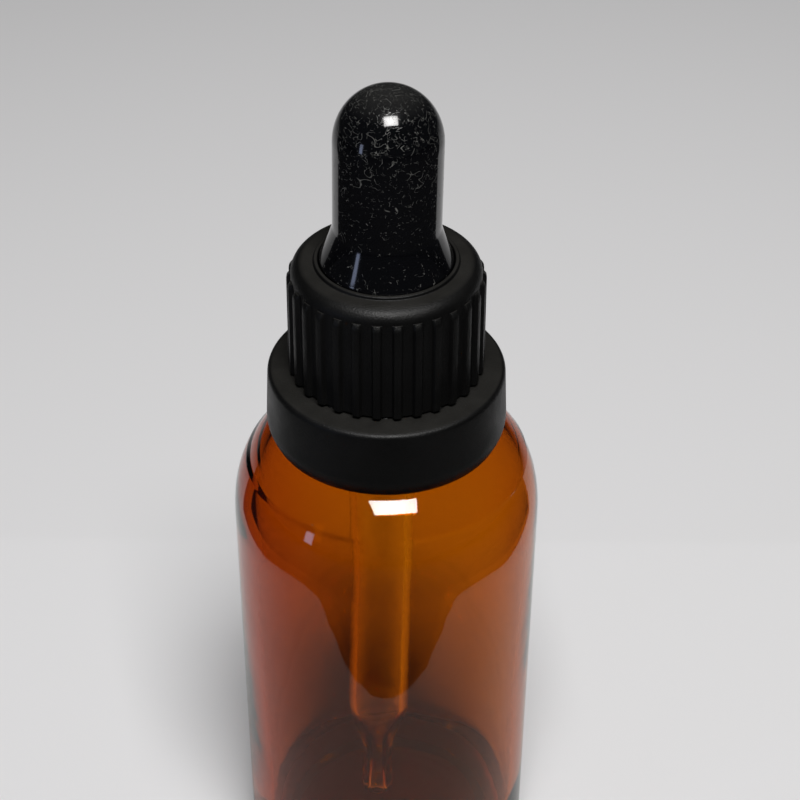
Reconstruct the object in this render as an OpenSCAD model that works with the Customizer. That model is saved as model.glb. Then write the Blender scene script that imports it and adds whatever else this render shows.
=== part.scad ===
// Glass dropper bottle with a screw-on dropper: a ribbed cap over a tamper band,
// a rubber bulb held under the cap's top plate, and a glass pipette gripped by the bulb.
// Millimetres, +Z up, origin at the centre of the bottle's foot.

/* [Bottle] */
// Outer diameter of the glass body
bottle_d = 37.5; // [30:0.5:50]
// Height of the bottle from its foot to its lip
bottle_h = 92; // [70:1:120]
// Thickness of the glass side wall
glass_wall = 1.9; // [1.4:0.1:2.6]
// Thickness of the glass floor at its edge
floor_t = 2.9; // [2.6:0.1:4]
// Radius of the shoulder, seen from the side
shoulder_r = 12.2; // [9:0.1:15]
// Radius of the heel where the side meets the foot
heel_r = 2.8; // [2:0.1:4]
// Radius of the heel inside, where the glass is thickest
inner_heel_r = 6.0; // [3:0.1:8]
// Width of the flat ring that the bottle stands on
foot_w = 3.0; // [2:0.1:4]
// Height of the hollow under the foot
push_up = 1.3; // [0.5:0.1:2]

/* [Neck] */
// Diameter over the neck's thread
thread_d = 17.6; // [16:0.1:19]
// Rise of the thread in one turn
thread_pitch = 3.0; // [2.5:0.1:3.5]
// Height of the thread ridge above the neck
thread_depth = 0.8; // [0.5:0.1:1]
// Turns of thread
thread_turns = 1.75; // [1:0.25:2]
// Height at which the neck's thread starts, above the cap's foot
thread_start = 1.6; // [1.2:0.1:2]
// Room between the pipette and the neck's bore
bore_room = 1.7; // [1.5:0.1:2.6]
// How far the bead that holds the tamper band stands out beyond the thread
bead_out = 1.5; // [1:0.1:2]
// Height of the bead
bead_h = 1.8; // [1.2:0.1:2.4]
// How far the neck's root stands out beyond its threaded stretch
root_out = 0.8; // [0.4:0.1:1.2]

/* [Screw cap] */
// Depth of the cap's thread room, from the neck's thread crest to the cap's wall
thread_room = 0.8; // [0.6:0.05:1.2]
// Height of the cap, without its raised rim
cap_h = 14.1; // [12:0.1:18]
// Thickness of the cap's top plate
plate_t = 1.4; // [1:0.1:2]
// Thickness of the cap's side wall between the ribs
cap_wall = 1.3; // [1:0.05:1.6]
// Rounding of the cap's top edge
cap_edge_r = 1.6; // [0.8:0.1:2.4]
// Number of grip ribs
rib_count = 30; // [20:1:40]
// Width of a rib
rib_w = 1.0; // [0.6:0.1:1.4]
// Turn of the ribs from the front, in degrees
rib_turn = 0.9; // [0:0.1:12]
// Height of a rib above the cap's wall, at its top
rib_h = 0.47; // [0.3:0.01:0.8]
// How much further out a rib stands at its foot
rib_draft = 0.1; // [0:0.05:0.3]
// Height of the raised rim round the hole
rim_h = 0.35; // [0.2:0.05:0.6]
// Width of the raised rim
rim_w = 0.5; // [0.3:0.05:0.8]

/* [Tamper band] */
// Thickness of the band's web, which reaches in towards the neck at its top
band_web = 1.2; // [0.9:0.1:1.6]
// How far the web overhangs the bead, which snaps through it
snap = 0.3; // [0.1:0.05:0.5]
// Room between the web and the bead under it
bead_room = 1.3; // [0.8:0.1:2]
// Room between the neck's bead and the band's wall
band_room = 2.45; // [1.8:0.05:3]
// How much further out the band stands at its foot than at its top
band_flare = 0.35; // [0:0.05:0.6]
// Height of the band
band_h = 8.95; // [7:0.05:10]
// Thickness of the band's wall
band_wall = 1.2; // [0.9:0.1:1.6]
// Height of the slot between the band and the cap
slot_h = 0.3; // [0.2:0.05:0.5]
// Number of bridges
bridge_count = 10; // [6:1:16]
// Number of flaps that catch under the neck's bead
flap_count = 12; // [8:1:16]
// Gap between the band's foot and the shoulder
band_gap = 0.35; // [0.2:0.05:1]

/* [Bulb] */
// Diameter of the bulb's straight stretch
bulb_d = 12.25; // [11:0.05:14]
// Height of the bulb above the cap's top plate
bulb_h = 21.45; // [18:0.05:26]
// Thickness of the rubber
bulb_wall = 1.4; // [1:0.1:2]
// Diameter of the bulb where it passes the cap's top plate
bulb_foot_d = 15.3; // [14:0.05:16]
// Height of the flare above the cap's top plate
flare_h = 4.6; // [3:0.1:6]
// Width of the flange clamped between the lip and the cap
flange_w = 1.25; // [0.9:0.05:1.6]
// Room between the flange and the cap's wall
flange_room = 0.6; // [0.3:0.1:1]
// Thickness of that flange
flange_t = 1.6; // [1.2:0.1:2.2]
// Lean of the bulb above its flange, in degrees
bulb_lean = 0.7; // [0:0.1:1]
// Length of rubber that grips the pipette
grip_l = 5.6; // [4:0.1:7]

/* [Pipette] */
// Outer diameter of the glass tube
tube_d = 8.0; // [6:0.1:8.4]
// Thickness of the tube's wall
tube_wall = 1.0; // [0.7:0.05:1.2]
// Length of the tapered end
taper_l = 9.5; // [7:0.5:18]
// Length of the narrow end below the taper
tip_l = 8; // [4:0.5:12]
// Diameter of the rounded tip
tip_d = 4.2; // [3:0.1:4.6]
// Diameter of the opening in the tip
tip_bore_d = 1.4; // [0.8:0.1:1.8]
// Distance from the tip down to the bottle's floor
tip_gap = 4.3; // [4:0.1:8]
// Length of tube that stands above the rubber grip
tube_over = 1.0; // [0.8:0.1:4]
// Lean of the tube in its rubber grip, in degrees
tube_lean = 1.1; // [0:0.1:1.4]

/* [Fits] */
// Gap between the cap and the parts that it turns round
turn_gap = 0.1; // [0.08:0.01:0.2]
// Gap between the crests of the two threads
crest_gap = 0.1; // [0.08:0.01:0.2]
// Gap between the glass tube and the rubber round it
grip_gap = 0.02; // [0.01:0.01:0.05]
// Gap between the flaps and the bead above them
catch_gap = 0.25; // [0.1:0.05:0.5]
// Gap above and below the bulb's flange
seat_gap = 0.05; // [0.02:0.01:0.1]
// Gap between the parted bridges and the cap
part_gap = 0.08; // [0.05:0.01:0.12]

/* [Hidden] */
$fn = 96;

amber = [0.55, 0.26, 0.05, 0.6];
clear_glass = [0.88, 0.92, 0.9, 0.5];
black_plastic = [0.07, 0.07, 0.07];
black_rubber = [0.05, 0.05, 0.06];

// Heights, each worked out from the piece that it rests on
lip_z = bottle_h;
flange_z = lip_z + seat_gap;
plate_z = flange_z + flange_t + seat_gap;
cap_top_z = plate_z + plate_t;
cap_foot_z = cap_top_z - cap_h;
band_top_z = cap_foot_z - slot_h;
band_foot_z = band_top_z - band_h;
bead_top_z = band_top_z - band_web - bead_room;
bead_foot_z = bead_top_z - bead_h;
thread_z = cap_foot_z + thread_start;
cap_thread_z = thread_z + thread_pitch / 2;
bulb_top_z = cap_top_z + bulb_h;
grip_top_z = lip_z + grip_l;
tube_top_z = grip_top_z + tube_over;

// Radii
body_r = bottle_d / 2;
crest_r = thread_d / 2;
bead_r = crest_r + bead_out;
neck_r = crest_r - thread_depth;
root_r = neck_r + root_out;
bulb_foot_r = bulb_foot_d / 2;
flange_r = bulb_foot_r + flange_w;
cap_bore_r = max(crest_r + thread_room, flange_r + flange_room);
cap_r = cap_bore_r + cap_wall;
cap_crest_r = crest_r + crest_gap;
hole_r = bulb_foot_r + turn_gap;
rim_r = hole_r + rim_w;
rib_top_r = cap_r + rib_h;
rib_foot_r = rib_top_r + rib_draft;
band_opening_r = bead_r - snap;
band_bore_r = bead_r + band_room;
band_r = band_bore_r + band_wall;
band_foot_r = band_r + band_flare;
tube_r = tube_d / 2;
bore_r = tube_r + bore_room;
tube_bore_r = tube_r - tube_wall;
tip_r = tip_d / 2;
bulb_r = bulb_d / 2;
cavity_r = max(bulb_r - bulb_wall, tube_r + 0.7);

// The shoulder is an arc whose top stays under the band's foot
shoulder_x = body_r - shoulder_r;
function shoulder_rise(r) = shoulder_x >= r ? shoulder_r : sqrt(pow(shoulder_r, 2) - pow(r - shoulder_x, 2));
shoulder_z = band_foot_z - band_gap - shoulder_rise(band_bore_r);
shoulder_end = shoulder_x >= root_r ? 90 : acos((root_r - shoulder_x) / shoulder_r);
inner_shoulder_r = shoulder_r - glass_wall;

// The bulb and the pipette lean about the middle of the rubber grip
lean_z = lip_z + grip_l / 2;
floor_z = floor_t + push_up / 2;
tip_z = floor_z + tip_gap;
taper_foot_z = tip_z + tip_l;
taper_top_z = taper_foot_z + taper_l;

function arc(x, z, r, from, to, steps) =
    [for (i = [0:steps]) let (a = from + (to - from) * i / steps) [x + r * cos(a), z + r * sin(a)]];

function ellipse(x, z, rx, rz, from, to, steps) =
    [for (i = [0:steps]) let (a = from + (to - from) * i / steps) [x + rx * cos(a), z + rz * sin(a)]];

// Points along an S-shaped blend from [r0, z0] to [r1, z1]
function s_curve(r0, z0, r1, z1, steps) =
    [for (i = [0:steps]) let (t = i / steps) [r0 + (r1 - r0) * t * t * (3 - 2 * t), z0 + (z1 - z0) * t]];

// A helical ridge with a trapezoid section that fades into its wall at both ends.
// wall_r lies inside the wall that carries it and top_r is its crest, inside or outside wall_r.
module helical_ridge(wall_r, top_r, wall_w, top_w, pitch, turns, z) {
    per_turn = 36;
    last = round(turns * per_turn);
    fade = per_turn / 6;
    sinking = 0.3 * sign(top_r - wall_r);
    function height(i) = min(1, i / fade, (last - i) / fade);
    function crest(i) = wall_r + sinking * 0.5 + (top_r - wall_r - sinking * 0.5) * height(i);
    function section(i) = let (turn = i / per_turn * 360, mid = z + pitch * i / per_turn)
        [for (p = [[wall_r, -wall_w / 2], [crest(i), -top_w / 2], [crest(i), top_w / 2], [wall_r, wall_w / 2]])
            [p[0] * cos(turn), p[0] * sin(turn), mid + p[1]]];
    points = [for (i = [0:last]) each section(i)];
    sides = [for (i = [0:last - 1]) for (k = [0:3]) let (a = 4 * i + k, b = 4 * i + (k + 1) % 4)
        each [[a, b, a + 4], [b, b + 4, a + 4]]];
    first_end = [[0, 2, 1], [0, 3, 2]];
    last_end = [for (t = first_end) [for (k = [2, 1, 0]) 4 * last + t[k]]];
    faces = concat(sides, first_end, last_end);
    outward = top_r > wall_r;
    polyhedron(points, outward ? faces : [for (f = faces) [f[2], f[1], f[0]]]);
}

module glass_bottle() {
    lip_wall = neck_r - bore_r;
    lip_round = min(0.9, lip_wall * 0.5);
    bore_round = min(0.7, lip_wall * 0.4);
    foot_out = body_r - heel_r;
    foot_in = foot_out - foot_w;
    inner_r = body_r - glass_wall;
    neck_fillet = 1.2;
    neck_foot_z = shoulder_z + shoulder_r * sin(shoulder_end);
    throat_z = shoulder_z + inner_shoulder_r;
    outside = concat(
        [[0, push_up], [foot_in * 0.5, push_up * 0.75], [foot_in, 0]],
        arc(body_r - heel_r, heel_r, heel_r, -90, 0, 8),
        arc(shoulder_x, shoulder_z, shoulder_r, 0, shoulder_end, 24),
        arc(root_r + neck_fillet, neck_foot_z + neck_fillet, neck_fillet, 235, 180, 4),
        [[root_r, bead_foot_z - 0.5], [bead_r - 0.6, bead_foot_z]],
        arc(bead_r - 0.5, bead_foot_z + 0.5, 0.5, -60, 0, 4),
        arc(bead_r - 0.7, bead_top_z - 0.7, 0.7, 0, 75, 5),
        [[neck_r, bead_top_z + 0.35]],
        arc(neck_r - lip_round, lip_z - lip_round, lip_round, 0, 90, 6)
    );
    inside = concat(
        arc(bore_r + bore_round, lip_z - bore_round, bore_round, 90, 180, 5),
        [[bore_r, throat_z + 1.6]],
        s_curve(bore_r, throat_z + 1.6, max(bore_r, shoulder_x) + 0.9, throat_z - 0.05, 5),
        arc(shoulder_x, shoulder_z, inner_shoulder_r, max(bore_r, shoulder_x) > shoulder_x ? 72 : 84, 0, 18),
        arc(inner_r - inner_heel_r, floor_t + inner_heel_r, inner_heel_r, 0, -90, 12),
        [[0, floor_z]]
    );
    color(amber) union() {
        rotate_extrude() polygon(concat(outside, inside));
        helical_ridge(neck_r - 0.3, crest_r, 1.9, 0.8, thread_pitch, thread_turns, thread_z);
    }
}

module tamper_band() {
    edge_r = 0.7;
    foot_r = 1.6;
    flap_t = 0.55;
    flap_root_z = band_foot_z + 0.9;
    flap_tip_z = bead_foot_z - catch_gap;
    flap_tip_r = root_r + 0.35;
    flap_span = 360 / flap_count * 0.6;
    shell = concat(
        [[band_opening_r, band_top_z - band_web], [band_opening_r, band_top_z]],
        arc(band_r - edge_r, band_top_z - edge_r, edge_r, 90, 0, 6),
        ellipse(band_foot_r - foot_r * 0.5, band_foot_z + foot_r, foot_r * 0.5, foot_r, 0, -90, 6),
        [[band_bore_r, band_foot_z], [band_bore_r, band_top_z - band_web]]
    );
    flap = [
        [band_bore_r + 0.3, flap_root_z], [band_bore_r + 0.3, flap_root_z + flap_t * 1.6],
        [flap_tip_r + 0.4, flap_tip_z], [flap_tip_r, flap_tip_z - flap_t]
    ];
    color(black_plastic) union() {
        rotate_extrude() polygon(shell);
        for (i = [0:flap_count - 1])
            rotate([0, 0, i * 360 / flap_count - flap_span / 2]) rotate_extrude(angle = flap_span) polygon(flap);
    }
}

module break_bridges() {
    bridge_w = 0.8;
    bridge_in = max(band_opening_r, cap_bore_r) + 0.1;
    bridge_out = cap_r - 0.05;
    bridge_h = slot_h - part_gap;
    color(black_plastic) for (i = [0:bridge_count - 1])
        rotate([0, 0, (i + 0.5) * 360 / bridge_count])
            translate([bridge_in, -bridge_w / 2, band_top_z]) cube([bridge_out - bridge_in, bridge_w, bridge_h]);
}

module screw_cap() {
    inner_round = 0.3;
    rib_end = 0.9;
    rib_sink = 0.5;
    rib_top_z = cap_top_z - cap_edge_r;
    shell = concat(
        [[cap_bore_r, cap_foot_z], [cap_r, cap_foot_z]],
        arc(cap_r - cap_edge_r, cap_top_z - cap_edge_r, cap_edge_r, 0, 90, 8),
        [[rim_r, cap_top_z], [rim_r, cap_top_z + rim_h - 0.15], [rim_r - 0.15, cap_top_z + rim_h]],
        [[hole_r + 0.15, cap_top_z + rim_h], [hole_r, cap_top_z + rim_h - 0.15], [hole_r, plate_z]],
        [[cap_bore_r - inner_round, plate_z], [cap_bore_r, plate_z - inner_round]]
    );
    rib_shape = concat(
        [[cap_r - rib_sink, cap_foot_z], [rib_foot_r, cap_foot_z]],
        ellipse(cap_r, rib_top_z - rib_end, rib_h, rib_end, 0, 90, 6),
        [[cap_r - rib_sink, rib_top_z]]
    );
    color(black_plastic) union() {
        rotate_extrude() polygon(shell);
        intersection() {
            rotate_extrude() polygon(rib_shape);
            for (i = [0:rib_count - 1])
                rotate([0, 0, (i + 0.5) * 360 / rib_count - 90 + rib_turn])
                    translate([cap_r - 1, -rib_w / 2, cap_foot_z - 1]) cube([3, rib_w, cap_h]);
        }
        helical_ridge(cap_bore_r + 0.3, cap_crest_r, 1.6, 0.7, thread_pitch, thread_turns, cap_thread_z);
    }
}

module rubber_bulb() {
    dome_r = bulb_r - 0.02;
    dome_h = bulb_r + 0.25;
    flare_top_z = cap_top_z + flare_h;
    neck_top_z = cap_top_z + rim_h + 0.05;
    flange_round = 0.25;
    flange_top_z = flange_z + flange_t;
    flange = concat(
        [[0, flange_z], [flange_r - flange_round, flange_z]],
        arc(flange_r - flange_round, flange_z + flange_round, flange_round, -90, 0, 3),
        arc(flange_r - flange_round, flange_top_z - flange_round, flange_round, 0, 90, 3),
        [[0, flange_top_z]]
    );
    body = concat(
        [[0, flange_z + 0.4], [bulb_foot_r, flange_z + 0.4], [bulb_foot_r, neck_top_z]],
        [for (i = [0:8]) let (t = i / 8)
            [bulb_r + (bulb_foot_r - bulb_r) * pow(1 - t, 1.25), neck_top_z + (flare_top_z - neck_top_z) * t]],
        ellipse(0, bulb_top_z - dome_h, dome_r, dome_h, 0, 90, 16)
    );
    cavity = concat(
        [[0, grip_top_z - 0.8], [tube_r * 0.8, grip_top_z - 0.8], [cavity_r - 0.4, grip_top_z + 0.4]],
        [[cavity_r, grip_top_z + 1.2]],
        ellipse(0, bulb_top_z - dome_h, cavity_r, dome_h - bulb_wall, 0, 90, 12)
    );
    color(black_rubber) difference() {
        union() {
            rotate_extrude() polygon(flange);
            leaning(bulb_lean) rotate_extrude() polygon(body);
        }
        leaning(bulb_lean) rotate_extrude() polygon(cavity);
        leaning(tube_lean) translate([0, 0, lip_z - 2]) cylinder(r = tube_r + grip_gap, h = grip_l + 2.4);
    }
}

// Leans what follows about the middle of the rubber grip
module leaning(lean) {
    translate([0, 0, lean_z]) rotate([0, lean, 0]) translate([0, 0, -lean_z]) children();
}

module glass_pipette() {
    rim = tube_wall / 2;
    waist_r = tip_r - 0.15;
    wall_at_tip = waist_r - tip_bore_d / 2;
    outside = concat(
        [[tip_bore_d / 2, tip_z], [tip_r - 0.9, tip_z]],
        ellipse(tip_r - 0.9, tip_z + 1.6, 0.9, 1.6, -90, 0, 5),
        s_curve(tip_r, tip_z + 2, waist_r, taper_foot_z, 4),
        s_curve(waist_r, taper_foot_z + 0.2, tube_r, taper_top_z, 12),
        arc(tube_r - rim, tube_top_z - rim, rim, 0, 180, 8)
    );
    inside = concat(
        s_curve(tube_bore_r, taper_top_z, waist_r - wall_at_tip, taper_foot_z, 12)
    );
    color(clear_glass) leaning(tube_lean) rotate_extrude() polygon(concat(outside, inside));
}

glass_bottle();
tamper_band();
break_bridges();
screw_cap();
rubber_bulb();
glass_pipette();
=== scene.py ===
"""Looks for the glass dropper bottle: every CAD node is replaced by a finer mesh of the same piece.

Lengths of the pieces are millimetres until a mesh is made, and the CAD nodes' boxes give the places.
The stage, the lights and the camera are in metres.
"""

import math

import bmesh
import bpy
import numpy as np
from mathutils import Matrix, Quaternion, Vector


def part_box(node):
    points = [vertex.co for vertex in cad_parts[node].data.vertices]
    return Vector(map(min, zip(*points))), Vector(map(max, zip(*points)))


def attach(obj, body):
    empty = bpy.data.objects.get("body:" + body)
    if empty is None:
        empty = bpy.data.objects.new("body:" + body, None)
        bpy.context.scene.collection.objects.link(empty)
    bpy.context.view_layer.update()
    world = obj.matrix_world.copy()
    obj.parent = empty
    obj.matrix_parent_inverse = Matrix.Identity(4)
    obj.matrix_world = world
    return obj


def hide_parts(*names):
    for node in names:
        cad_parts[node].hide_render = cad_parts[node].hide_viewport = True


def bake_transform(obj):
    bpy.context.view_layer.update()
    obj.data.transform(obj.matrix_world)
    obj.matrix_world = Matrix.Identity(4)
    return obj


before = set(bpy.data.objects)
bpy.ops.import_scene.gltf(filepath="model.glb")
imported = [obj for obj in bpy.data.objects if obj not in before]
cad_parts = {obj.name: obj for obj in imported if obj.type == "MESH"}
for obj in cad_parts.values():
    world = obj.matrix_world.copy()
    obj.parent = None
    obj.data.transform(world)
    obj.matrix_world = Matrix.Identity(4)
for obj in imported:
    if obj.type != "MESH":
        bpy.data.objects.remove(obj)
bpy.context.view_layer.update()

MM = 0.001
SMALL = 1e-6


def corners(node):
    """A CAD node's lowest and highest corners, in millimetres."""
    low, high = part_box(node)
    return np.array(low) / MM, np.array(high) / MM


bottle_high = corners("glass_bottle")[1]
band_low, band_high = corners("tamper_band")
cap_low, cap_high = corners("screw_cap")
bulb_low, bulb_high = corners("rubber_bulb")

LIP_Z = bottle_high[2]
BODY_R = min(bottle_high[0], bottle_high[1])
BAND_TOP = band_high[2]
BAND_FOOT = band_low[2]
CAP_FOOT = cap_low[2]
RIM_H = 0.35
CAP_TOP = cap_high[2] - RIM_H
BULB_FOOT = bulb_low[2]
BULB_TOP = bulb_high[2]

# Sizes that the boxes don't give, as in part.scad
GLASS_WALL = 1.9
FLOOR_T = 2.9
PUSH_UP = 1.3
SHOULDER_R = 12.2
INNER_HEEL_R = 6.0
NECK_R = 8.0
ROOT_R = 8.8
BEAD_R = 10.3
BORE_R = 5.7
BEAD_TOP = BAND_TOP - 2.5
BEAD_FOOT = BEAD_TOP - 1.8
BAND_BORE_R = BEAD_R + 2.45
THREAD_Z = CAP_FOOT + 1.6
THREAD_PITCH = 3.0
THREAD_TURNS = 1.75
CAP_R = 10.9
CAP_BORE_R = 9.6
CAP_CREST_R = 8.9
HOLE_R = 7.75
PLATE_T = 1.4
RIBS = 30
RIB_TURN = 0.9
BULB_R = 6.125
BULB_WALL = 1.4
BULB_NECK_R = 7.65
FLANGE_R = BULB_NECK_R + 1.25
TUBE_R = 4.0
TUBE_WALL = 1.0
TUBE_LEAN = math.radians(1.1)
BULB_LEAN = math.radians(0.7)
LEAN_Z = LIP_Z + 2.8
GRIP_TOP = LIP_Z + 5.6
TUBE_TOP = GRIP_TOP + 1.0
TIP_Z = FLOOR_T + PUSH_UP / 2 + 4.3
TIP_R = 2.1
TIP_L = 8.0
TAPER_L = 9.5
FLAPS = 12
BRIDGES = 10

# Sizes that only this script has, or has otherwise than part.scad
WALL_SHIFT = 0.35
WALL_WAVES = 0.06
BRIDGE_R = 10.475
RIB_HALF_W = 0.62
RIB_FLANK = 0.24
RIB_HEAD_H = 0.75


# ---------------------------------------------------------------- shapes


def arc(x, z, rx, start, stop, steps, rz=None):
    """Points on an arc, from one angle to another in degrees."""
    rz = rx if rz is None else rz
    turns = np.radians(np.linspace(start, stop, steps + 1))
    return [(x + rx * math.cos(t), z + rz * math.sin(t)) for t in turns]


def squarish(x, z, radius, start, stop, steps):
    """A quarter bend like an arc, but whose curvature grows from nothing at its ends, as blown glass bends.

    It cuts its corner nearly as much as an arc of that radius with its centre at (x, z) does."""
    power = 2.5
    wider = 0.98 * radius * (1 - 0.5**0.5) / (1 - 0.5 ** (1 / power))
    x, z = x + radius - wider, z + radius - wider
    turns = np.radians(np.linspace(start, stop, steps + 1))
    return [(x + wider * math.cos(t) ** (2 / power), z + wider * math.sin(t) ** (2 / power)) for t in turns]


def rounded(points, steps=6):
    """A polyline whose corners are rounded. Each point is (r, z) or (r, z, radius)."""
    out = []
    for i, point in enumerate(points):
        radius = point[2] if len(point) > 2 else 0
        here = Vector(point[:2])
        if not radius or i in (0, len(points) - 1):
            out.append(tuple(here))
            continue
        back = Vector(points[i - 1][:2]) - here
        on = Vector(points[i + 1][:2]) - here
        half = back.angle(on) / 2
        reach = min(radius / math.tan(half), back.length * 0.49, on.length * 0.49)
        first, last = here + back.normalized() * reach, here + on.normalized() * reach
        for k in range(steps + 1):
            t = k / steps
            a, b = first.lerp(here, t), here.lerp(last, t)
            out.append(tuple(a.lerp(b, t)))
    return out


def denser(points, step):
    """The same line with no stretch longer than step."""
    out = [points[0]]
    for (r0, z0), (r1, z1) in zip(points, points[1:]):
        n = max(1, math.ceil(math.hypot(r1 - r0, z1 - z0) / step))
        out += [(r0 + (r1 - r0) * k / n, z0 + (z1 - z0) * k / n) for k in range(1, n + 1)]
    return out


def lathe(name, profile, segments, change=None):
    """A closed solid turned from a profile in (r, z) whose two ends lie on the axis, or whose loop is closed.

    change(r, z, turn) may return new x, y, z for a point, from arrays of the same shape."""
    profile = np.array(profile, float)
    closed = profile[0, 0] > SMALL
    turn = np.linspace(0, 2 * math.pi, segments, endpoint=False)
    inner = profile if closed else profile[1:-1]
    r = np.repeat(inner[:, :1], segments, 1)
    z = np.repeat(inner[:, 1:], segments, 1)
    t = np.repeat(turn[None], len(inner), 0)
    if change:
        x, y, z = change(r, z, t)
    else:
        x, y = r * np.cos(t), r * np.sin(t)
    points = np.stack([x, y, z], -1).reshape(-1, 3)
    rows = len(inner)
    faces = []
    for i in range(rows if closed else rows - 1):
        a, b = i * segments, (i + 1) % rows * segments
        for k in range(segments):
            m = (k + 1) % segments
            faces.append((a + k, a + m, b + m, b + k))
    if not closed:
        first, last = len(points), len(points) + 1
        points = np.vstack([points, [0, 0, profile[0, 1]], [0, 0, profile[-1, 1]]])
        a = (rows - 1) * segments
        for k in range(segments):
            m = (k + 1) % segments
            faces.append((first, m, k))
            faces.append((a + k, a + m, last))
    return solid(name, points, faces)


def solid(name, points, faces, sharp=40):
    """A mesh object from points in millimetres, smooth except across sharp edges."""
    mesh = bpy.data.meshes.new(name)
    mesh.from_pydata([tuple(p) for p in np.asarray(points) * MM], [], faces)
    work = bmesh.new()
    work.from_mesh(mesh)
    bmesh.ops.recalc_face_normals(work, faces=work.faces)
    work.to_mesh(mesh)
    work.free()
    for face in mesh.polygons:
        face.use_smooth = True
    mesh.set_sharp_from_angle(angle=math.radians(sharp))
    return placed(name, mesh)


def placed(name, data):
    """A new object of the scene that shows a mesh, a light or a camera."""
    obj = bpy.data.objects.new(name, data)
    bpy.context.scene.collection.objects.link(obj)
    return obj


def smooth_step(t):
    """0 below 0, 1 above 1, and an even curve between."""
    t = np.clip(t, 0, 1)
    return t * t * (3 - 2 * t)


def thread(z, turn, start, pitch, turns, width, top):
    """Height, from 0 to 1, of a helical ridge over a point of the wall that carries it."""
    height = np.zeros_like(z)
    whole = np.ceil(turns) + 1
    for lap in np.arange(-1, whole):
        along = turn / (2 * math.pi) + lap
        ends = np.clip(np.minimum(along, turns - along) * 6, 0, 1)
        off = np.abs(z - (start + pitch * along))
        side = 1 - (off - top / 2) / ((width - top) / 2)
        height = np.maximum(height, smooth_step(side) * ends)
    return height


def waves(turn, z, seed, size):
    """Gentle unevenness, as moulded glass has: a few low waves round and along the piece."""
    rng = np.random.default_rng(seed)
    out = np.zeros_like(z)
    for _ in range(9):
        around, along = rng.integers(1, 6), rng.uniform(0.02, 0.16)
        out += np.sin(around * turn + rng.uniform(0, 6.3)) * np.sin(along * z + rng.uniform(0, 6.3))
    return out * size / 3


def make_bottle():
    """The outside from under the foot to the lip, then the inside down to the floor."""
    shoulder_x = BODY_R - SHOULDER_R
    shoulder_z = BAND_FOOT - 0.35 - math.sqrt(SHOULDER_R**2 - (BAND_BORE_R - shoulder_x) ** 2)
    neck_foot = shoulder_z + SHOULDER_R * 0.983
    heel, foot_in = 2.8, BODY_R - 5.8
    inner_r, inner_arc = BODY_R - GLASS_WALL, SHOULDER_R - GLASS_WALL
    throat = shoulder_z + inner_arc
    outside = rounded(
        [(0, PUSH_UP), (foot_in * 0.5, PUSH_UP * 0.75, 5), (foot_in, 0.03, 0.8), (foot_in + 1, 0)]
    )
    outside += arc(BODY_R - heel, heel, heel, -90, 0, 12)
    outside += squarish(shoulder_x, shoulder_z, SHOULDER_R, 0, 74, 60)
    outside += rounded(
        [
            (ROOT_R + 1.0, neck_foot - 0.12),
            (ROOT_R, neck_foot + 0.2, 1.2),
            (ROOT_R, BEAD_FOOT - 0.5, 0.5),
            (BEAD_R - 0.1, BEAD_FOOT, 0.5),
            (BEAD_R, BEAD_TOP - 0.4, 0.6),
            (NECK_R, BEAD_TOP + 0.4, 0.5),
            (NECK_R, LIP_Z, 0.9),
            (BORE_R, LIP_Z, 0.7),
            (BORE_R, throat + 2.2, 1.5),
            (shoulder_x + 2.6, throat - 0.6, 1.5),
            (shoulder_x + 3.6, throat - 0.75),
        ]
    )
    outside += squarish(shoulder_x, shoulder_z, inner_arc, 60, 0, 40)
    outside += arc(inner_r - INNER_HEEL_R, FLOOR_T + INNER_HEEL_R, INNER_HEEL_R, 0, -90, 24)
    outside += [(inner_r - INNER_HEEL_R - 4, FLOOR_T + 0.25), (0, FLOOR_T + PUSH_UP / 2)]

    def change(r, z, t):
        on_neck = (r > NECK_R - 0.3) & (z > BEAD_TOP + 0.5) & (z < LIP_Z - 0.4)
        r = r + 0.8 * thread(z, t, THREAD_Z, THREAD_PITCH, THREAD_TURNS, 1.9, 0.8) * on_neck
        inside = (r <= inner_r + 0.1) & (z > FLOOR_T - 0.2) & (z < throat)
        wall = smooth_step((z - FLOOR_T - 4) / 8) * smooth_step((throat - z) / 6)
        r = r + inside * wall * (waves(t, z, 7, WALL_WAVES) + WALL_SHIFT * np.cos(t))
        return r * np.cos(t), r * np.sin(t), z

    return lathe("amber_bottle", denser(outside, 0.55), 224, change)


def make_band():
    """The ring round the neck, with the flaps that catch under the bead."""
    wall_top = BEAD_R + 3.65
    foot = wall_top + 0.35
    opening = BEAD_R - 0.3
    shell = rounded(
        [
            (opening, BAND_TOP - 1.2),
            (opening, BAND_TOP, 0.2),
            (wall_top, BAND_TOP, 0.75),
            (foot, BAND_FOOT + 1.7, 4.0),
            (foot - 0.75, BAND_FOOT, 0.9),
            (BAND_BORE_R, BAND_FOOT, 0.2),
            (BAND_BORE_R, BAND_TOP - 1.2, 0.3),
        ],
        9,
    )
    obj = lathe("snap_band", denser(shell, 0.6), 288)
    flap_top = BEAD_FOOT - 0.25
    flap = [
        (BAND_BORE_R + 0.3, BAND_FOOT + 0.9),
        (BAND_BORE_R + 0.3, BAND_FOOT + 1.8),
        (ROOT_R + 0.75, flap_top),
        (ROOT_R + 0.35, flap_top - 0.55),
    ]
    steps, span = 10, 18
    points, faces = [], []
    for flap_no in range(FLAPS):
        base = len(points)
        middle = flap_no * 360 / FLAPS
        for k in range(steps + 1):
            t = math.radians(middle - span / 2 + span * k / steps)
            points += [(r * math.cos(t), r * math.sin(t), z) for r, z in flap]
        for k in range(steps):
            for i in range(4):
                a, b = base + 4 * k + i, base + 4 * k + (i + 1) % 4
                faces.append((a, b, b + 4, a + 4))
        end = base + 4 * steps
        faces += [(base + 3, base + 2, base + 1, base), (end, end + 1, end + 2, end + 3)]
    flaps = solid("flaps", points, faces, 30)
    return joined(obj, flaps)


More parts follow.
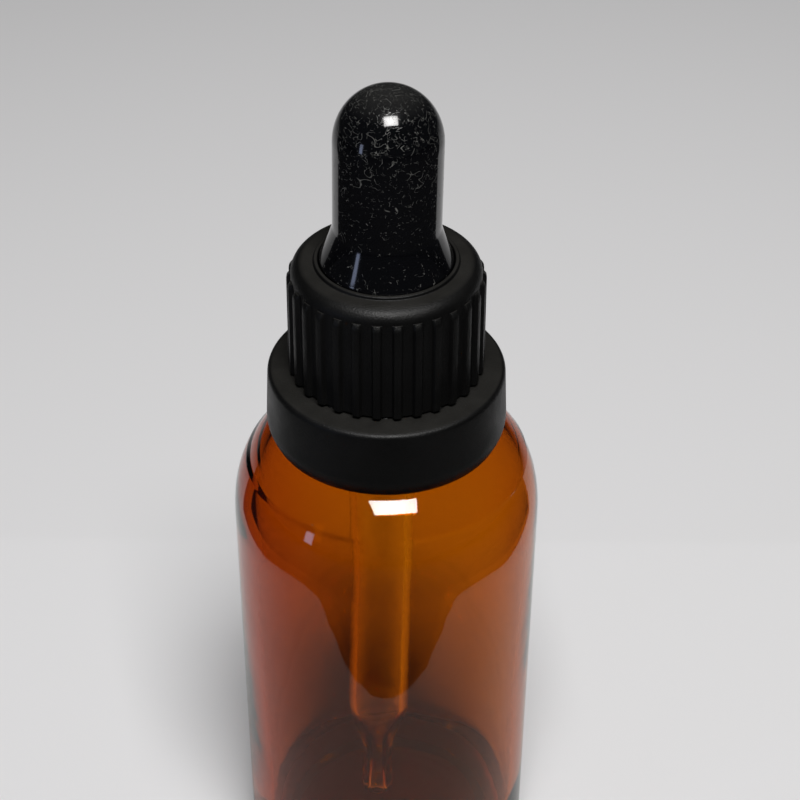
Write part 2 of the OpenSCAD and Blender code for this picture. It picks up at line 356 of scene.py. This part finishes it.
def joined(obj, other):
    """The two meshes as one object."""
    bpy.ops.object.select_all(action="DESELECT")
    obj.select_set(True)
    other.select_set(True)
    bpy.context.view_layer.objects.active = obj
    bpy.ops.object.join()
    return obj


def make_bridges():
    """Torn stubs: each a little post that narrows to its broken top."""
    points, faces = [], []
    rng = np.random.default_rng(5)
    gap_to_cap, half_depth, half_width = 0.08, 0.37, 0.4
    height = CAP_FOOT - BAND_TOP - gap_to_cap
    sides, squareness = 16, 0.6
    for i in range(BRIDGES):
        middle = math.radians((i + 0.5) * 360 / BRIDGES)
        out = np.array([math.cos(middle), math.sin(middle)])
        side = np.array([-math.sin(middle), math.cos(middle)])
        base = len(points)
        rings = [(0, 1.0), (0.35, 0.86), (0.75, 0.74), (1, 0.6)]
        for level, share in rings:
            for k in range(sides):
                a = 2 * math.pi * k / sides
                x = BRIDGE_R + half_depth * share * abs(math.cos(a)) ** squareness * np.sign(math.cos(a))
                y = half_width * share * abs(math.sin(a)) ** squareness * np.sign(math.sin(a))
                rough = rng.uniform(-0.03, 0) if level == 1 else 0
                points.append((*(out * x + side * y), BAND_TOP + height * level + rough))
        for row in range(len(rings) - 1):
            for k in range(sides):
                m = (k + 1) % sides
                a, b = base + sides * row, base + sides * (row + 1)
                faces.append((a + k, a + m, b + m, b + k))
        top = base + sides * (len(rings) - 1)
        faces.append([base + sides - 1 - k for k in range(sides)])
        faces.append([top + k for k in range(sides)])
    return solid("torn_bridges", points, faces, 50)


def make_cap():
    """The cap with its ribs outside and its thread inside."""
    edge = 1.6
    rib_top = CAP_TOP - edge
    plate_z = CAP_TOP - PLATE_T
    shell = rounded(
        [
            (CAP_BORE_R, CAP_FOOT),
            (CAP_BORE_R + 0.15, CAP_FOOT),
            (CAP_R, CAP_FOOT, 0.2),
            (CAP_R, rib_top - 0.02),
        ],
        4,
    )
    shell += arc(CAP_R - edge, rib_top, edge, 0, 84, 14)
    shell += rounded(
        [
            (HOLE_R + 0.85, CAP_TOP),
            (HOLE_R + 0.55, CAP_TOP, 0.1),
            (HOLE_R + 0.5, CAP_TOP + RIM_H, 0.18),
            (HOLE_R, CAP_TOP + RIM_H, 0.18),
            (HOLE_R, plate_z, 0.1),
            (CAP_BORE_R, plate_z, 0.3),
            (CAP_BORE_R, CAP_FOOT + 0.1),
        ],
        5,
    )
    pitch = 2 * math.pi / RIBS

    def change(r, z, t):
        from_rib = (t + math.pi / 2 - math.radians(RIB_TURN)) % pitch - pitch / 2
        off = np.abs(from_rib) * CAP_R
        across = smooth_step((RIB_HALF_W - off) / RIB_FLANK)
        crown = 1 - 0.12 * np.clip(off / 0.5, 0, 1) ** 2
        up_head = np.clip((z - rib_top + RIB_HEAD_H) / RIB_HEAD_H, 0, 1)
        head = np.sqrt(np.clip(1 - up_head**2, 0, 1))
        draft = 0.47 + 0.1 * np.clip((rib_top - z) / (rib_top - CAP_FOOT), 0, 1)
        outer = (r > CAP_R - 0.25) & (z < rib_top + 0.01)
        foot = smooth_step((z - CAP_FOOT) / 0.22) * 0.35 + 0.65
        r = r + outer * across * crown * head * draft * foot
        inner = (r < CAP_BORE_R + 0.02) & (z < plate_z - 0.3)
        ridge = thread(z, t, THREAD_Z + THREAD_PITCH / 2, THREAD_PITCH, THREAD_TURNS, 1.6, 0.7)
        r = r - inner * (CAP_BORE_R - CAP_CREST_R) * ridge
        return r * np.cos(t), r * np.sin(t), z

    return lathe("ribbed_cap", denser(shell, 0.4), RIBS * 22, change)


def make_bulb():
    """The bulb: flange, neck, flare and dome outside, then the cavity and the grip round the tube."""
    dome_h = BULB_R + 0.25
    inner_r = BULB_R - BULB_WALL
    neck_top = CAP_TOP + RIM_H + 0.05
    flare_top = CAP_TOP + 4.6
    flange_top = BULB_FOOT + 1.6
    outside = rounded(
        [
            (TUBE_R + 0.02, BULB_FOOT),
            (FLANGE_R, BULB_FOOT, 0.3),
            (FLANGE_R, flange_top, 0.3),
            (BULB_NECK_R, flange_top, 0.1),
            (BULB_NECK_R, neck_top - 0.3),
        ]
    )
    flare_steps = 24
    for k in range(flare_steps + 1):
        t = k / flare_steps
        outside.append(
            (BULB_R + (BULB_NECK_R - BULB_R) * (1 - t) ** 1.25, neck_top + (flare_top - neck_top) * t)
        )
    outside += arc(0, BULB_TOP - dome_h, BULB_R - 0.02, 0, 90, 40, dome_h)
    cavity = arc(0, BULB_TOP - dome_h, inner_r, 90, 0, 24, dome_h - BULB_WALL)
    cavity += rounded(
        [
            (inner_r, GRIP_TOP + 3),
            (inner_r, GRIP_TOP + 1.2, 0.8),
            (inner_r - 0.4, GRIP_TOP + 0.4, 0.3),
            (TUBE_R + 0.02, GRIP_TOP - 0.2),
            (TUBE_R + 0.02, BULB_FOOT + 0.2),
        ]
    )

    def change(r, z, t):
        x, y = r * np.cos(t), r * np.sin(t)
        if r[0] < TUBE_R + 0.03 and z[0] < GRIP_TOP:
            return x + (z - LEAN_Z) * math.tan(TUBE_LEAN), y, z
        return leaning(x, y, z, BULB_LEAN) if z[0] > flange_top + 0.1 else (x, y, z)

    return lathe_two("squeeze_bulb", denser(outside, 0.5), denser(cavity, 0.6), 192, change)


def lathe_two(name, outer, inner, segments, change):
    """A hollow solid whose outside and inside both close on the axis at the top, and meet at the foot."""
    turn = np.linspace(0, 2 * math.pi, segments, endpoint=False)
    points, faces = [], []

    def row(r, z):
        ring = np.full(segments, r), np.full(segments, z)
        x, y, zz = change(ring[0], ring[1], turn)
        start = len(points)
        points.extend(zip(x, y, zz))
        return start

    outer_rows = [row(r, z) for r, z in outer if r > SMALL]
    top_out = len(points)
    points.append(np.ravel(change(np.zeros(1), np.full(1, outer[-1][1]), np.zeros(1))))
    inner_rows = [row(r, z) for r, z in inner if r > SMALL]
    top_in = len(points)
    points.append(np.ravel(change(np.zeros(1), np.full(1, inner[0][1]), np.zeros(1))))

    def strip(a, b):
        for k in range(segments):
            m = (k + 1) % segments
            faces.append((a + k, a + m, b + m, b + k))

    for a, b in zip(outer_rows, outer_rows[1:]):
        strip(a, b)
    for a, b in zip(inner_rows, inner_rows[1:]):
        strip(a, b)
    strip(inner_rows[-1], outer_rows[0])
    for k in range(segments):
        m = (k + 1) % segments
        faces.append((outer_rows[-1] + k, outer_rows[-1] + m, top_out))
        faces.append((top_in, inner_rows[0] + m, inner_rows[0] + k))
    return solid(name, points, faces)


def leaning(x, y, z, lean):
    """Points turned about the middle of the rubber grip."""
    up = z - LEAN_Z
    return x * math.cos(lean) + up * math.sin(lean), y, LEAN_Z - x * math.sin(lean) + up * math.cos(lean)


def make_pipette():
    """The tube: a long tip with a small bore, then a taper to the full width."""
    tip_r, bore = TIP_R, 0.7
    waist = tip_r - 0.15
    wall = waist - bore
    taper_foot, taper_top = TIP_Z + TIP_L, TIP_Z + TIP_L + TAPER_L

    def blend_to(r0, z0, r1, z1, steps):
        return [
            (r0 + (r1 - r0) * (k / steps) ** 2 * (3 - 2 * k / steps), z0 + (z1 - z0) * k / steps)
            for k in range(steps + 1)
        ]

    profile = [(bore, TIP_Z + 0.15), (bore + 0.12, TIP_Z), (tip_r - 0.9, TIP_Z)]
    profile += arc(tip_r - 0.9, TIP_Z + 1.6, 0.9, -84, 0, 10, 1.6)
    profile += blend_to(tip_r, TIP_Z + 2, waist, taper_foot, 10)
    profile += blend_to(waist, taper_foot + 0.2, TUBE_R, taper_top, 30)
    profile += [(TUBE_R, TUBE_TOP - 6)]
    profile += arc(TUBE_R - TUBE_WALL / 2, TUBE_TOP - TUBE_WALL / 2, TUBE_WALL / 2, 0, 180, 14)
    profile += blend_to(TUBE_R - TUBE_WALL, taper_top, waist - wall, taper_foot, 30)

    def change(r, z, t):
        return leaning(r * np.cos(t), r * np.sin(t), z, TUBE_LEAN)

    return lathe("drawn_tube", denser(profile, 0.9), 96, change)


# ---------------------------------------------------------------- materials


def material(name, **values):
    """A principled material. Returns it with its shader, and with functions that add and link nodes."""
    mat = bpy.data.materials.new(name)
    mat.use_nodes = True
    tree = mat.node_tree
    shader = next(n for n in tree.nodes if n.type == "BSDF_PRINCIPLED")
    for key, value in values.items():
        shader.inputs[key.replace("_", " ")].default_value = value

    def add(kind, links=(), **settings):
        node = tree.nodes.new("ShaderNode" + kind)
        for key, value in settings.items():
            if hasattr(node, key):
                setattr(node, key, value)
            else:
                node.inputs[key.replace("_", " ")].default_value = value
        for key, source in links:
            tree.links.new(source, node.inputs[key])
        return node

    return mat, shader, add, tree.links.new


def calc(add, link, operation, *values):
    """A maths node over sockets or constant numbers."""
    node = add("Math", operation=operation)
    for socket, value in zip(node.inputs, values):
        if isinstance(value, (int, float)):
            socket.default_value = value
        else:
            link(value, socket)
    return node.outputs[0]


# Seed, scale, thickness and rarity of each layer of lint, then scale and rarity of each layer of specks
LINT_LAYERS = ((3.1, 430, 0.0045, 0.64), (11.7, 760, 0.006, 0.63), (23.9, 1300, 0.008, 0.64))
SPECK_LAYERS = ((1900, 0.94), (3400, 0.90))


def lint(add, link, place, height, amount):
    """How much of each spot is pale lint: curly fibres, where a noise passes its middle, and fine dust."""
    total = 0.0
    for seed, scale, thin, kept in LINT_LAYERS:
        moved = add("Mapping", [("Vector", place)], Location=(seed, seed * 0.7, seed * 0.3)).outputs["Vector"]
        curl = add("TexNoise", [("Vector", moved)], Scale=scale, Detail=1.0, Roughness=0.7, Distortion=0.6)
        off = calc(add, link, "ABSOLUTE", calc(add, link, "SUBTRACT", curl.outputs["Fac"], 0.5))
        line = ramp(add, off, (thin * 0.3, 1.0), (thin, 0.0))
        piece = add("TexNoise", [("Vector", moved)], Scale=scale * 1.6, Detail=1.0).outputs["Fac"]
        shown = calc(add, link, "SUBTRACT", piece, calc(add, link, "MULTIPLY", height, -amount))
        part = calc(add, link, "MULTIPLY", line, ramp(add, shown, (kept, 0.0), (kept + 0.03, 1.0)))
        total = calc(add, link, "MAXIMUM", total, part)
    for scale, share in SPECK_LAYERS:
        dots = add("TexVoronoi", [("Vector", place)], Scale=scale)
        chosen = add("SeparateColor", [("Color", dots.outputs["Color"])]).outputs[0]
        dot = ramp(add, dots.outputs["Distance"], (0.08, 1.0), (0.22, 0.0))
        speck = calc(add, link, "MULTIPLY", dot, ramp(add, chosen, (share, 0.0), (share + 0.08, 0.7)))
        total = calc(add, link, "MAXIMUM", total, speck)
    return total


def ramp(add, source, *stops):
    """A colour ramp: stops are (place, colour or grey)."""
    node = add("ValToRGB", [("Fac", source)])
    elements = node.color_ramp.elements
    while len(elements) < len(stops):
        elements.new(0.5)
    for element, (place, colour) in zip(elements, stops):
        element.position = place
        element.color = (*colour, 1) if isinstance(colour, tuple) else (colour, colour, colour, 1)
    return node.outputs["Color"]


def mixed(add, link, share, first, second):
    """A colour between two constant colours, by a share from 0 to 1."""
    node = add("Mix", data_type="RGBA")
    sockets = [i for i in node.inputs if i.type == "RGBA"]
    sockets[0].default_value, sockets[1].default_value = (*first, 1), (*second, 1)
    link(share, next(i for i in node.inputs if i.name == "Factor" and i.type == "VALUE"))
    return next(o for o in node.outputs if o.type == "RGBA")


def amber_glass():
    """Brown by its depth: a clear surface, slightly rippled, round a volume that absorbs."""
    mat, shader, add, link = material(
        "amber_glass", Base_Color=(1.0, 1.0, 1.0, 1), Roughness=0.01, IOR=1.52, Transmission_Weight=1.0
    )
    place = add("TexCoord").outputs["Object"]
    ripples = add("TexNoise", [("Vector", place)], Scale=90.0, Detail=2.0, Roughness=0.5)
    bump = add("Bump", [("Height", ripples.outputs["Fac"])], Strength=0.06, Distance=0.001)
    link(bump.outputs["Normal"], shader.inputs["Normal"])
    volume = add("VolumeAbsorption", Density=2040.0, Color=(0.915, 0.726, 0.03, 1))
    out = next(n for n in mat.node_tree.nodes if n.type == "OUTPUT_MATERIAL")
    link(volume.outputs["Volume"], out.inputs["Volume"])
    return mat


def clear_glass():
    """Nearly colourless glass with faint lines along the way it was drawn."""
    mat, shader, add, link = material(
        "clear_glass", Base_Color=(0.97, 1.0, 0.98, 1), Roughness=0.01, IOR=1.5, Transmission_Weight=1.0
    )
    place = add("TexCoord").outputs["Object"]
    draws = add("Mapping", [("Vector", place)], Scale=(1.0, 1.0, 0.05))
    lines = add("TexNoise", [("Vector", draws.outputs["Vector"])], Scale=600.0, Detail=1.0)
    bump = add("Bump", [("Height", lines.outputs["Fac"])], Strength=0.05, Distance=0.0005)
    link(bump.outputs["Normal"], shader.inputs["Normal"])
    return mat


def black_plastic():
    """Matt black with a fine grain, and painted top light: a lighter colour, with a cloudy mottle, on what
    faces up.
    """
    mat, shader, add, link = material("black_plastic", Roughness=0.45, IOR=1.49, Specular_IOR_Level=0.32)
    place = add("TexCoord").outputs["Object"]
    grain = add("TexNoise", [("Vector", place)], Scale=5200.0, Detail=3.0, Roughness=0.6)
    cloud = add("TexNoise", [("Vector", place)], Scale=260.0, Detail=4.0, Roughness=0.6)
    faces_up = add("SeparateXYZ", [("Vector", add("TexCoord").outputs["Normal"])]).outputs["Z"]
    # Painted top light: what faces up gets a lighter colour, mottled by a cloud noise, for the light that the
    # tops catch.
    painted_top_light = ramp(add, faces_up, (0.88, 0.0), (1.0, 1.0))
    pale_mottle = calc(add, link, "MULTIPLY", painted_top_light, ramp(add, cloud.outputs["Fac"], (0.3, 0.7), (0.7, 1.0)))
    colour = mixed(add, link, pale_mottle, (0.0022, 0.0022, 0.0022), (0.017, 0.0163, 0.0148))
    link(colour, shader.inputs["Base Color"])
    link(ramp(add, cloud.outputs["Fac"], (0.3, 0.4), (0.7, 0.52)), shader.inputs["Roughness"])
    bump = add("Bump", [("Height", grain.outputs["Fac"])], Strength=0.6, Distance=0.00008)
    link(bump.outputs["Normal"], shader.inputs["Normal"])
    return mat


def black_rubber(low, high):
    """Rubber with lint on it. Places are counted in the box from low to high, so the lint rides along."""
    mat, shader, add, link = material("black_rubber", Roughness=0.12, IOR=1.5)
    in_box = add("TexCoord").outputs["Generated"]
    place = add("Mapping", [("Vector", in_box)], Scale=high - low, Location=low).outputs["Vector"]
    up = add("SeparateXYZ", [("Vector", place)]).outputs["Z"]
    foot, top = 0.1, 0.1165
    height = add("MapRange", [("Value", up)], From_Min=foot, From_Max=top).outputs["Result"]
    grain = add("TexNoise", [("Vector", place)], Scale=1500.0, Detail=4.0, Roughness=0.6)
    fluff = lint(add, link, place, height, 0.15)
    # A fine noise: pale dust on the crown of the bulb.
    pale_mottle = add("TexNoise", [("Vector", place)], Scale=5000.0, Detail=3.0, Roughness=0.7).outputs["Fac"]
    crown = calc(add, link, "MULTIPLY", ramp(add, height, (0.88, 0.0), (1.0, 0.24)), pale_mottle)
    pale = calc(add, link, "MAXIMUM", fluff, crown)
    link(mixed(add, link, pale, (0.0022, 0.0023, 0.003), (0.13, 0.13, 0.122)), shader.inputs["Base Color"])
    film = add("TexNoise", [("Vector", place)], Scale=320.0, Detail=5.0, Roughness=0.6)
    smooth = ramp(add, film.outputs["Fac"], (0.3, 0.06), (0.7, 0.12))
    link(calc(add, link, "ADD", smooth, calc(add, link, "MULTIPLY", pale, 0.6)), shader.inputs["Roughness"])
    bump = add("Bump", [("Height", grain.outputs["Fac"])], Strength=0.015, Distance=0.00005)
    under = [("Height", fluff), ("Normal", bump.outputs["Normal"])]
    raised = add("Bump", under, Strength=0.15, Distance=0.00005)
    link(raised.outputs["Normal"], shader.inputs["Normal"])
    return mat


plastic = black_plastic()
PIECES = [
    (make_bottle(), "glass_bottle", "bottle", "amber_glass", amber_glass()),
    (make_band(), "tamper_band", "band", "black_plastic", plastic),
    (make_bridges(), "break_bridges", "band", "black_plastic", plastic),
    (make_cap(), "screw_cap", "cap", "black_plastic", plastic),
    (make_pipette(), "glass_pipette", "pipette", "clear_glass", clear_glass()),
]
for piece, node, body, slot, look in PIECES:
    piece.data.materials.append(look)
    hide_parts(node)
    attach(piece, body)

bulb = make_bulb()
bulb_points = np.array([v.co for v in bulb.data.vertices])
bulb.data.materials.append(black_rubber(bulb_points.min(0), bulb_points.max(0)))
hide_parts("rubber_bulb")
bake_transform(bulb)


# ---------------------------------------------------------------- stage, light, camera


def plain(name, colour, roughness):
    """A one-coloured material with a fine fibre in its surface."""
    mat, shader, add, link = material(name, Base_Color=colour, Roughness=roughness)
    place = add("TexCoord").outputs["Object"]
    fibre = add("TexNoise", [("Vector", place)], Scale=900.0, Detail=3.0)
    bump = add("Bump", [("Height", fibre.outputs["Fac"])], Strength=0.05, Distance=0.0002)
    link(bump.outputs["Normal"], shader.inputs["Normal"])
    return mat


def sheet(name, x, y, z, look):
    """A level sheet of the stage, from x[0] to x[1] and y[0] to y[1]."""
    mesh = bpy.data.meshes.new(name)
    points = [(x[0], y[0], z), (x[1], y[0], z), (x[1], y[1], z), (x[0], y[1], z)]
    mesh.from_pydata(points, [], [(0, 1, 2, 3)])
    obj = placed(name, mesh)
    obj.data.materials.append(look)
    return obj


sheet("floor", (-3, 3), (-3, 3), 0, plain("paper", (0.8, 0.8, 0.815, 1), 0.7))


def dark_surround():
    """What the glass and the black parts mirror beyond the paper: a dark table, open at the back."""
    half_width, front, middle, power, steps = 0.089, 0.060, -0.003, 3.2, 48
    edge = [(-0.7, 0.45), (-0.1, 0.06)]
    for k in range(steps + 1):
        t = math.pi * (1 + k / steps)
        x = math.copysign(abs(math.cos(t)) ** (2 / power), math.cos(t)) * half_width
        edge.append((middle + x, -front * abs(math.sin(t)) ** (2 / power)))
    edge += [(0.1, 0.06), (0.7, 0.45)]
    far = [(float(np.clip(15 * x, -3, 3)), min(15 * y, 0.45)) for x, y in edge]
    points = [(x, y, 0.0004) for x, y in edge + far]
    n = len(edge)
    mesh = bpy.data.meshes.new("dark_surround")
    mesh.from_pydata(points, [], [(k, k + 1, n + k + 1, n + k) for k in range(n - 1)])
    obj = placed("dark_surround", mesh)
    obj.data.materials.append(plain("dark_table", (0.012, 0.012, 0.014, 1), 0.8))
    obj.visible_camera = obj.visible_diffuse = obj.visible_shadow = False


dark_surround()


def front_shade():
    """The paper before the bottle lies in shade, which only the glass and the black parts mirror."""
    look, shader, add, link = material("shaded_paper", Roughness=0.7)
    place = add("SeparateXYZ", [("Vector", add("TexCoord").outputs["Object"])])
    back = add("MapRange", [("Value", place.outputs["Y"])], From_Min=-0.03, From_Max=0.06)
    link(ramp(add, back.outputs["Result"], (0.0, 0.36), (1.0, 0.8)), shader.inputs["Base Color"])
    card = sheet("front_shade", (-0.4, 0.4), (-0.4, 0.06), 0.0003, look)
    card.visible_camera = card.visible_diffuse = card.visible_shadow = card.visible_transmission = False


front_shade()


def area(name, place, aim, size, power, colour):
    """A rectangular light at a place, aimed at another."""
    light = bpy.data.lights.new(name, "AREA")
    light.shape = "RECTANGLE"
    light.size, light.size_y = size
    light.energy = power
    light.color = colour
    obj = placed(name, light)
    obj.location = place
    obj.rotation_euler = (Vector(aim) - Vector(place)).to_track_quat("-Z", "Y").to_euler()
    return obj


TARGET = Vector((0.0016, 0, 0.07525))
CAMERA_RISE = 37.19
CAMERA_DISTANCE = 0.22127
CAMERA_ROLL = 0.33
LENS = 83.7


def around(azimuth, elevation, distance):
    """A place at a distance from the target: azimuth 0 is the front, and angles are in degrees."""
    a, e = math.radians(azimuth), math.radians(elevation)
    return TARGET + Vector((math.sin(a) * math.cos(e), -math.cos(a) * math.cos(e), math.sin(e))) * distance


key = area("key", around(11, 65, 1.1), (0.01, 0.06, 0), (0.52, 0.36), 2.2, (1.0, 0.99, 0.975))
key.data.spread = math.radians(70)
area("window", around(-55, 4, 0.5), TARGET, (0.055, 0.14), 0.094, (0.6, 0.7, 1.0))

world = bpy.data.worlds.new("studio")
bpy.context.scene.world = world
world.use_nodes = True
world.node_tree.nodes["Background"].inputs["Color"].default_value = (0.95, 0.97, 1.0, 1)
world.node_tree.nodes["Background"].inputs["Strength"].default_value = 0.02

camera = bpy.data.cameras.new("camera")
camera.sensor_width = 36
camera.lens = LENS
camera.clip_start = 0.01
eye = placed("camera", camera)
eye.location = around(0, CAMERA_RISE, CAMERA_DISTANCE)
roll = Quaternion((0, 0, 1), math.radians(CAMERA_ROLL))
eye.rotation_euler = ((TARGET - eye.location).to_track_quat("-Z", "Y") @ roll).to_euler()
bpy.context.scene.camera = eye
bpy.context.scene.view_settings.view_transform = "Standard"
